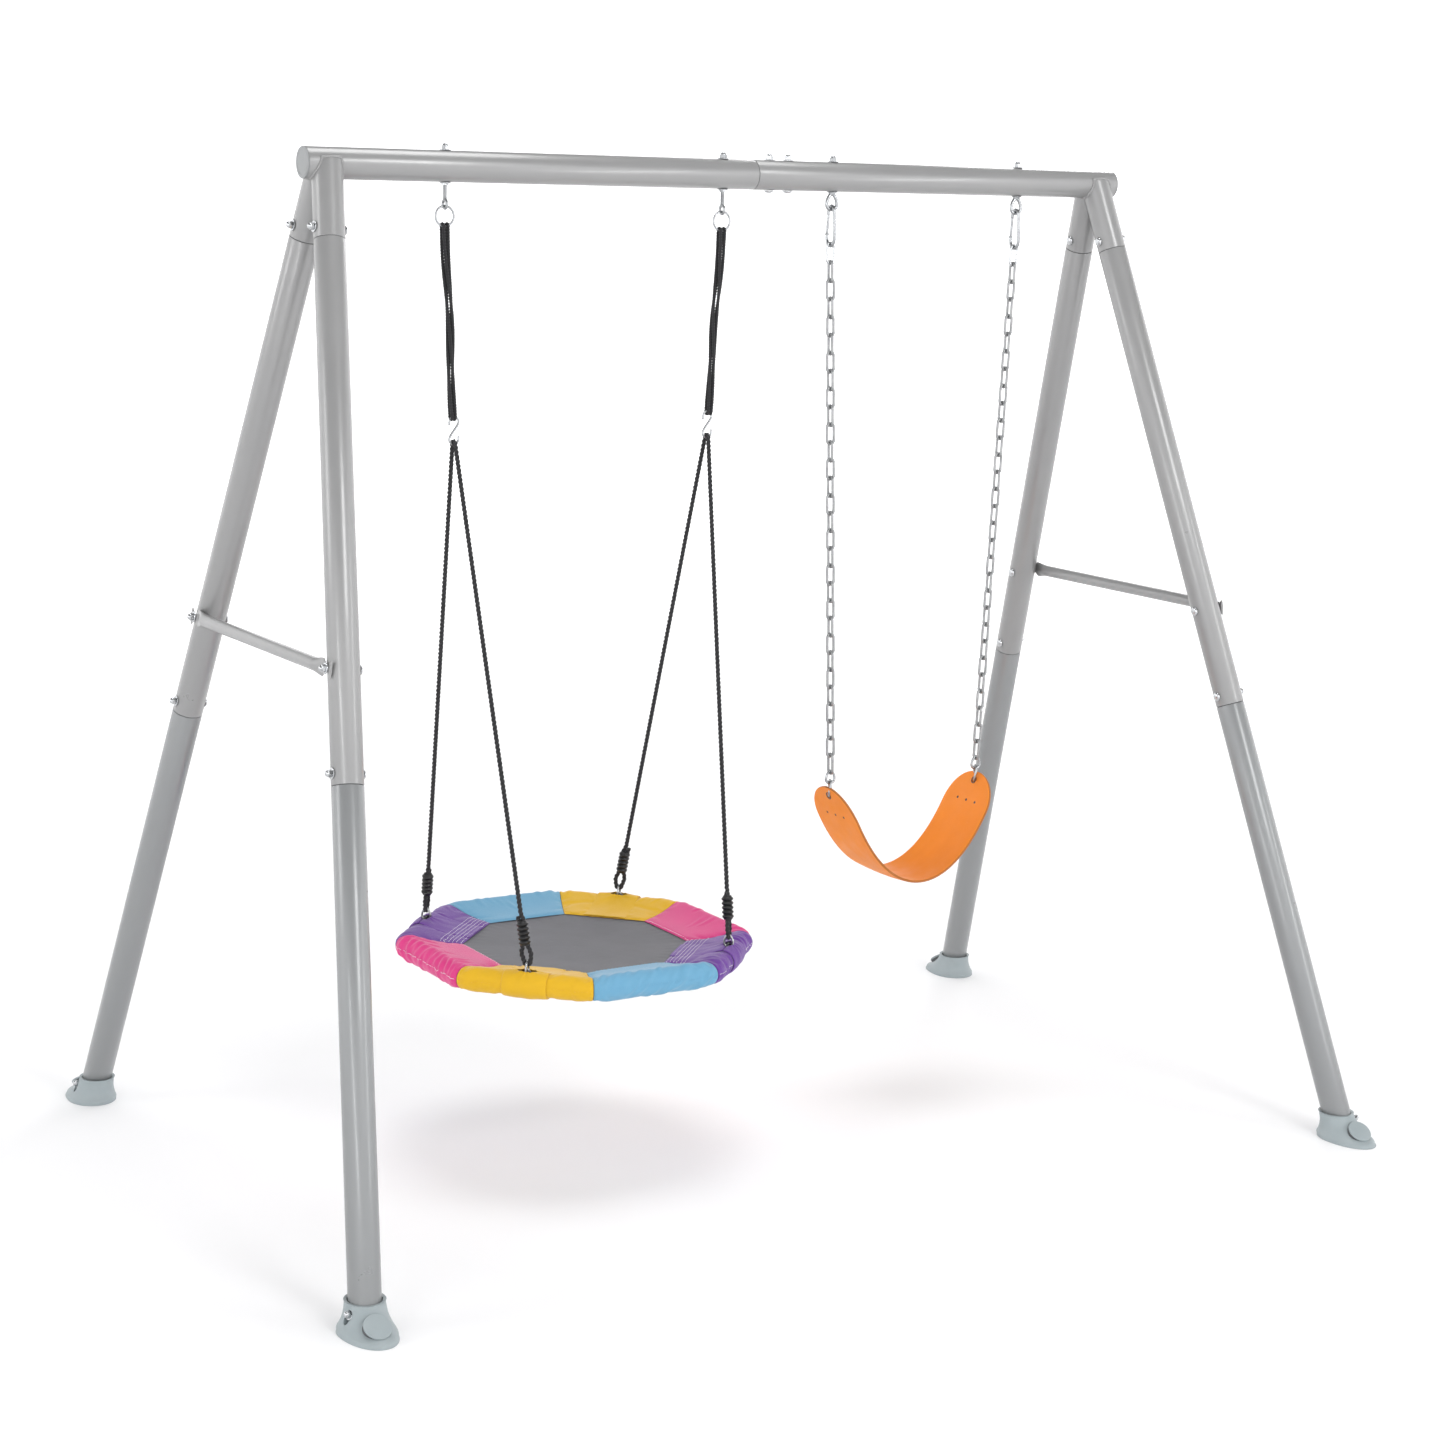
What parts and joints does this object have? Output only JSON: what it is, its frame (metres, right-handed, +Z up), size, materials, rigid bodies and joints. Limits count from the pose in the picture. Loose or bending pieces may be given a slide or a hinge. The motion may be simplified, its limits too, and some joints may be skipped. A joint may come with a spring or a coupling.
{
  "type": "swing set",
  "caption": "Steel A-frame swing set with a padded round saucer swing on ropes and a curved belt swing on chains, hung side by side from one beam.",
  "frame": {"origin": "on the ground under the middle of the beam", "axes": "+X along the beam from the saucer swing to the belt swing, +Y to the back, across the A-frames, +Z up"},
  "size_m": [2.384, 1.616, 2.0473],
  "materials": {
    "frame_paint": "semi-gloss light grey powder coat",
    "grey_plastic": "satin moulded",
    "zinc": "bright zinc plated",
    "rope": "twisted black fibre",
    "black_plastic": "satin moulded",
    "bare_steel": "dull",
    "chain_steel": "galvanised, dull",
    "sleeve_purple": "woven, padded",
    "sleeve_pink": "woven, padded",
    "sleeve_yellow": "woven, padded",
    "sleeve_blue": "woven, padded",
    "mat_fabric": "fine woven mesh",
    "orange_rubber": "satin flexible moulding"
  },
  "bodies": {
    "frame": {"beam_left": "frame_paint", "beam_right": "frame_paint", "crossbar_left": "frame_paint", "crossbar_right": "frame_paint", "upper_leg_front_left": "frame_paint", "upper_leg_back_left": "frame_paint", "upper_leg_front_right": "frame_paint", "upper_leg_back_right": "frame_paint", "lower_leg_front_left": "frame_paint", "lower_leg_back_left": "frame_paint", "lower_leg_front_right": "frame_paint", "lower_leg_back_right": "frame_paint", "beam_cap_left": "grey_plastic", "beam_cap_right": "grey_plastic", "foot_front_left": "grey_plastic", "foot_back_left": "grey_plastic", "foot_front_right": "grey_plastic", "foot_back_right": "grey_plastic", "beam_bolt_inner": "zinc", "beam_bolt_outer": "zinc", "socket_bolt_front_left": "zinc", "socket_bolt_back_left": "zinc", "socket_bolt_front_right": "zinc", "socket_bolt_back_right": "zinc", "crossbar_bolt_front_left": "zinc", "crossbar_bolt_back_left": "zinc", "crossbar_bolt_front_right": "zinc", "crossbar_bolt_back_right": "zinc", "eye_bolt_saucer_left": "zinc", "eye_bolt_saucer_right": "zinc", "eye_bolt_belt_left": "zinc", "eye_bolt_belt_right": "zinc"},
    "saucer_hanger": {"hanger_ring_left": "zinc", "hanger_ring_right": "zinc", "rope_loop_left": "rope", "rope_loop_right": "rope", "s_hook_left": "zinc", "s_hook_right": "zinc"},
    "saucer": {"saucer_link_front_left": "zinc", "saucer_link_back_left": "zinc", "saucer_link_front_right": "zinc", "saucer_link_back_right": "zinc", "saucer_rope_left": "rope", "saucer_rope_right": "rope", "rope_adjuster_front_left": "black_plastic", "rope_adjuster_back_left": "black_plastic", "rope_adjuster_front_right": "black_plastic", "rope_adjuster_back_right": "black_plastic", "saucer_tube": "bare_steel", "saucer_sleeve": "sleeve_purple", "saucer_mat": "mat_fabric"},
    "belt_hanger": {"snap_hook_left": "zinc", "snap_hook_right": "zinc", "chain_left": "chain_steel", "chain_right": "chain_steel"},
    "gate_left": {"snap_gate_left": "zinc"},
    "gate_right": {"snap_gate_right": "zinc"},
    "belt": {"seat_link_left": "zinc", "seat_link_right": "zinc", "belt_seat": "orange_rubber"}
  },
  "joints": [
    {"name": "saucer_swing", "type": "hinge", "parent": "frame", "child": "saucer_hanger", "pos_m": [-0.35, 0, 1.9255], "axis": [1, 0, 0], "range_deg": [-55, 55]},
    {"name": "saucer_tilt", "type": "hinge", "parent": "saucer_hanger", "child": "saucer", "pos_m": [-0.35, 0, 1.468], "axis": [1, 0, 0], "range_deg": [-20, 20]},
    {"name": "belt_swing", "type": "hinge", "parent": "frame", "child": "belt_hanger", "pos_m": [0.4625, 0, 1.933], "axis": [1, 0, 0], "range_deg": [-60, 60]},
    {"name": "belt_tilt", "type": "hinge", "parent": "belt_hanger", "child": "belt", "pos_m": [0.4625, 0, 0.742], "axis": [1, 0, 0], "range_deg": [-35, 35]},
    {"name": "gate_left_opens", "type": "hinge", "parent": "belt_hanger", "child": "gate_left", "pos_m": [0.225, 0.014, 1.88255], "axis": [1, 0, 0], "range_deg": [0, 20], "stiffness_Nm_per_rad": 0.02, "springref_deg": -17.19},
    {"name": "gate_right_opens", "type": "hinge", "parent": "belt_hanger", "child": "gate_right", "pos_m": [0.7, 0.014, 1.88255], "axis": [1, 0, 0], "range_deg": [0, 20], "stiffness_Nm_per_rad": 0.02, "springref_deg": -17.19}
  ]
}
